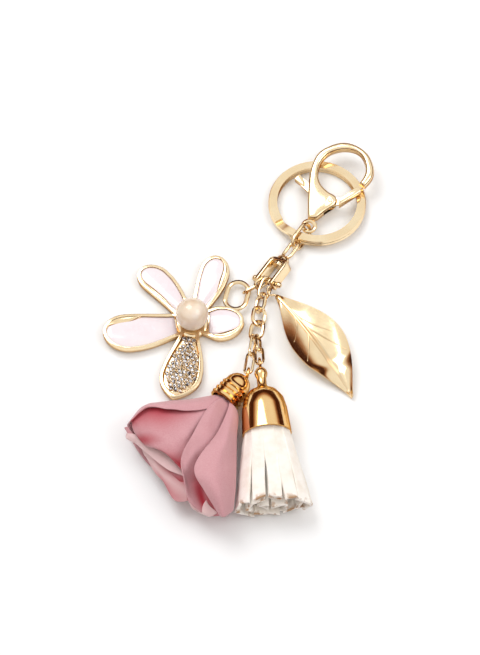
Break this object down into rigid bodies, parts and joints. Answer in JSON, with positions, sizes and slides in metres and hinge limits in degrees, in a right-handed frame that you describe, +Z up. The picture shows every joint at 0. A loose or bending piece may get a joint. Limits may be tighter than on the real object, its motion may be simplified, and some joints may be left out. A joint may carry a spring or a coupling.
{
  "type": "wristlet keychain",
  "caption": "Key ring bag charm: split ring and lobster clasp on a swivel, carrying an enamel flower, a metal leaf, a fabric rose tassel and a suede strip tassel.",
  "frame": {"origin": "middle of the bounding box's footprint, on the surface the charm lies on", "axes": "+X across the charm, +Y from the tassels towards the clasp, +Z up off the surface"},
  "size_m": [0.0879, 0.1328, 0.0214],
  "materials": {
    "pale_gold": "polished pale gold plate",
    "warm_gold": "polished warm gold plate",
    "enamel": "glossy pinkish white enamel",
    "rhinestone": "clear faceted stones in a gold bed",
    "pearl": "cream pearl lustre",
    "rose_fabric": "dusty pink woven fabric with crimson folds",
    "suede": "ivory faux suede strips"
  },
  "bodies": {
    "shackle": {"shackle": "pale_gold", "shackle_pin": "pale_gold"},
    "swivel": {"swivel_loop": "pale_gold"},
    "connector": {"connector_ring": "pale_gold"},
    "key_ring": {"split_ring": "pale_gold"},
    "clasp": {"clasp_body": "pale_gold", "clasp_rivet": "pale_gold"},
    "gate": {"clasp_gate": "pale_gold"},
    "flower_ring_1": {"flower_ring_1": "pale_gold"},
    "flower_ring_2": {"flower_ring_2": "pale_gold"},
    "flower": {"flower_frame": "pale_gold", "enamel_petal_upper_left": "enamel", "enamel_petal_left": "enamel", "enamel_petal_right": "enamel", "enamel_petal_upper_right": "enamel", "pave_stones": "rhinestone", "pearl": "pearl"},
    "chain_ring": {"chain_ring": "pale_gold"},
    "chain_link_1": {"chain_link_1": "pale_gold"},
    "chain_link_2": {"chain_link_2": "pale_gold"},
    "chain_link_3": {"chain_link_3": "pale_gold"},
    "left_link_1": {"left_strand_link_1": "pale_gold"},
    "left_link_2": {"left_strand_link_2": "pale_gold"},
    "rose": {"rose_cap": "warm_gold", "rose_bloom": "rose_fabric"},
    "right_link_1": {"right_strand_link_1": "pale_gold"},
    "right_link_2": {"right_strand_link_2": "pale_gold"},
    "bell": {"bell_cap": "warm_gold", "suede_skirt": "suede"},
    "leaf": {"leaf": "pale_gold"}
  },
  "joints": [
    {"name": "swivel_spin", "type": "hinge", "parent": "shackle", "child": "swivel", "pos_m": [0.01335, 0.0235, 0.0035], "axis": [0.5592, 0.829, 0], "continuous": true},
    {"name": "connector_tilt", "type": "hinge", "parent": "swivel", "child": "connector", "pos_m": [0.01833, 0.03088, 0.0035], "axis": [0.8387, -0.5446, 0], "range_deg": [0, 20]},
    {"name": "split_ring_turn", "type": "hinge", "parent": "connector", "child": "key_ring", "pos_m": [0.0253, 0.04635, 0.00224], "axis": [0, 0.0523, 0.9986], "continuous": true},
    {"name": "clasp_lift", "type": "hinge", "parent": "connector", "child": "clasp", "pos_m": [0.0225, 0.03725, 0.0032], "axis": [0.8387, -0.5446, 0], "range_deg": [0, 18]},
    {"name": "gate_open", "type": "hinge", "parent": "clasp", "child": "gate", "pos_m": [0.02957, 0.04538, 0.00446], "axis": [-0.0872, -0.0782, 0.9931], "range_deg": [0, 24], "stiffness_Nm_per_rad": 0.004, "springref_deg": -20.05},
    {"name": "flower_ring_1_swing", "type": "hinge", "parent": "shackle", "child": "flower_ring_1", "pos_m": [0.00786, 0.01719, 0.00298], "axis": [0, 0, -1], "range_deg": [0, 5]},
    {"name": "flower_ring_2_swing", "type": "hinge", "parent": "flower_ring_1", "child": "flower_ring_2", "pos_m": [0.0049, 0.015, 0.0029], "axis": [0, 0, -1], "range_deg": [0, 8]},
    {"name": "flower_lift", "type": "hinge", "parent": "flower_ring_2", "child": "flower", "pos_m": [0.0011, 0.01325, 0.0019], "axis": [-0.5158, -0.8567, 0], "range_deg": [0, 10]},
    {"name": "chain_ring_swing", "type": "hinge", "parent": "shackle", "child": "chain_ring", "pos_m": [0.00878, 0.01657, 0.00355], "axis": [-0.7387, 0.4982, -0.454], "range_deg": [0, 4]},
    {"name": "chain_link_1_lift", "type": "hinge", "parent": "chain_ring", "child": "chain_link_1", "pos_m": [0.0069, 0.01115, 0.0025], "axis": [-0.992, 0.126, 0], "range_deg": [0, 8]},
    {"name": "chain_link_2_swing", "type": "hinge", "parent": "chain_link_1", "child": "chain_link_2", "pos_m": [0.00627, 0.00618, 0.0025], "axis": [0, 0, 1], "range_deg": [0, 4]},
    {"name": "chain_link_3_lift", "type": "hinge", "parent": "chain_link_2", "child": "chain_link_3", "pos_m": [0.00563, 0.00121, 0.0025], "axis": [-0.992, 0.126, 0], "range_deg": [0, 8]},
    {"name": "left_link_1_lift", "type": "hinge", "parent": "chain_link_3", "child": "left_link_1", "pos_m": [0.00445, -0.00325, 0.00225], "axis": [-0.9842, 0.177, 0], "range_deg": [0, 2.5]},
    {"name": "left_link_2_lift", "type": "hinge", "parent": "left_link_1", "child": "left_link_2", "pos_m": [0.00354, -0.00978, 0.00374], "axis": [-0.9842, 0.177, 0], "range_deg": [0, 6]},
    {"name": "rose_lift", "type": "hinge", "parent": "left_link_2", "child": "rose", "pos_m": [0.00248, -0.0174, 0.0056], "axis": [-0.7878, 0.6159, 0], "range_deg": [0, 20]},
    {"name": "right_link_1_swing", "type": "hinge", "parent": "chain_link_3", "child": "right_link_1", "pos_m": [0.00578, -0.00355, 0.0029], "axis": [0, 0, 1], "range_deg": [0, 8]},
    {"name": "right_link_2_lift", "type": "hinge", "parent": "right_link_1", "child": "right_link_2", "pos_m": [0.00604, -0.00933, 0.00535], "axis": [-0.999, -0.044, 0], "range_deg": [0, 10]},
    {"name": "bell_lift", "type": "hinge", "parent": "right_link_2", "child": "bell", "pos_m": [0.00629, -0.01511, 0.0079], "axis": [-0.9962, -0.087, 0], "range_deg": [0, 20]},
    {"name": "leaf_roll", "type": "hinge", "parent": "shackle", "child": "leaf", "pos_m": [0.01005, 0.01571, 0.00433], "axis": [-0.7387, 0.4982, -0.454], "range_deg": [0, 20]}
  ]
}
